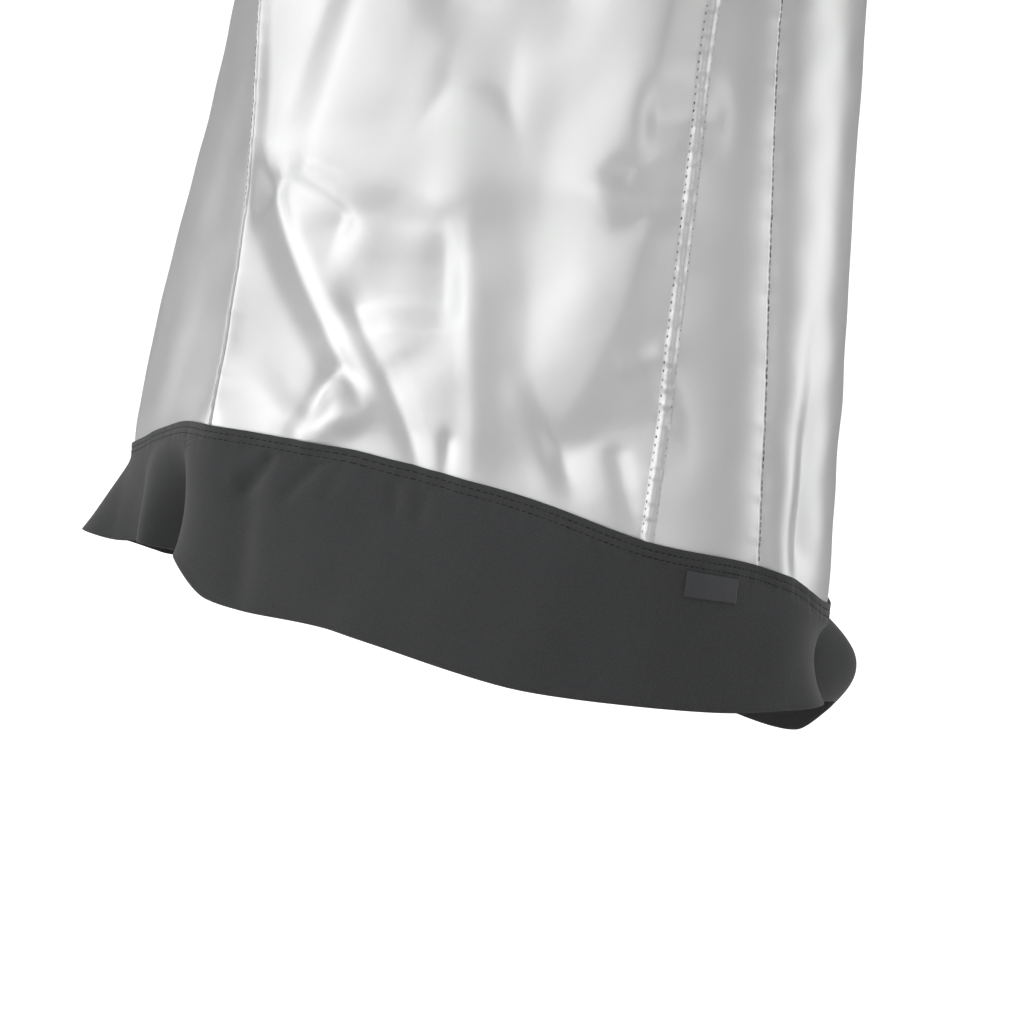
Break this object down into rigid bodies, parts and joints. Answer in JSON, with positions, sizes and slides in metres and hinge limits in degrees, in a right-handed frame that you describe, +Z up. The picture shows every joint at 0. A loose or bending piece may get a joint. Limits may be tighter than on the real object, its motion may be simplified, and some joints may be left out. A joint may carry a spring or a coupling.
{
  "type": "cello cover",
  "caption": "Slip-on silver cloth cover for a cello: a tapering hollow bag with soft folds, a gore up one side and a flared black hem band, open at the bottom.",
  "frame": {"origin": "just under the middle of the closed top, where the thing inside holds the cover up", "axes": "+Z up, front facing -Y, +X to the right as seen from the front"},
  "size_m": [0.6406, 0.2385, 1.1752],
  "materials": {
    "silver_cloth": "silver coated woven cloth, soft sheen",
    "black_cloth": "matt black plain weave",
    "label_cloth": "dark grey woven tape, blank"
  },
  "bodies": {
    "root": {"front_panel": "silver_cloth", "right_gusset": "silver_cloth", "back_panel": "silver_cloth", "hem_band": "black_cloth", "label": "label_cloth"}
  },
  "joints": []
}
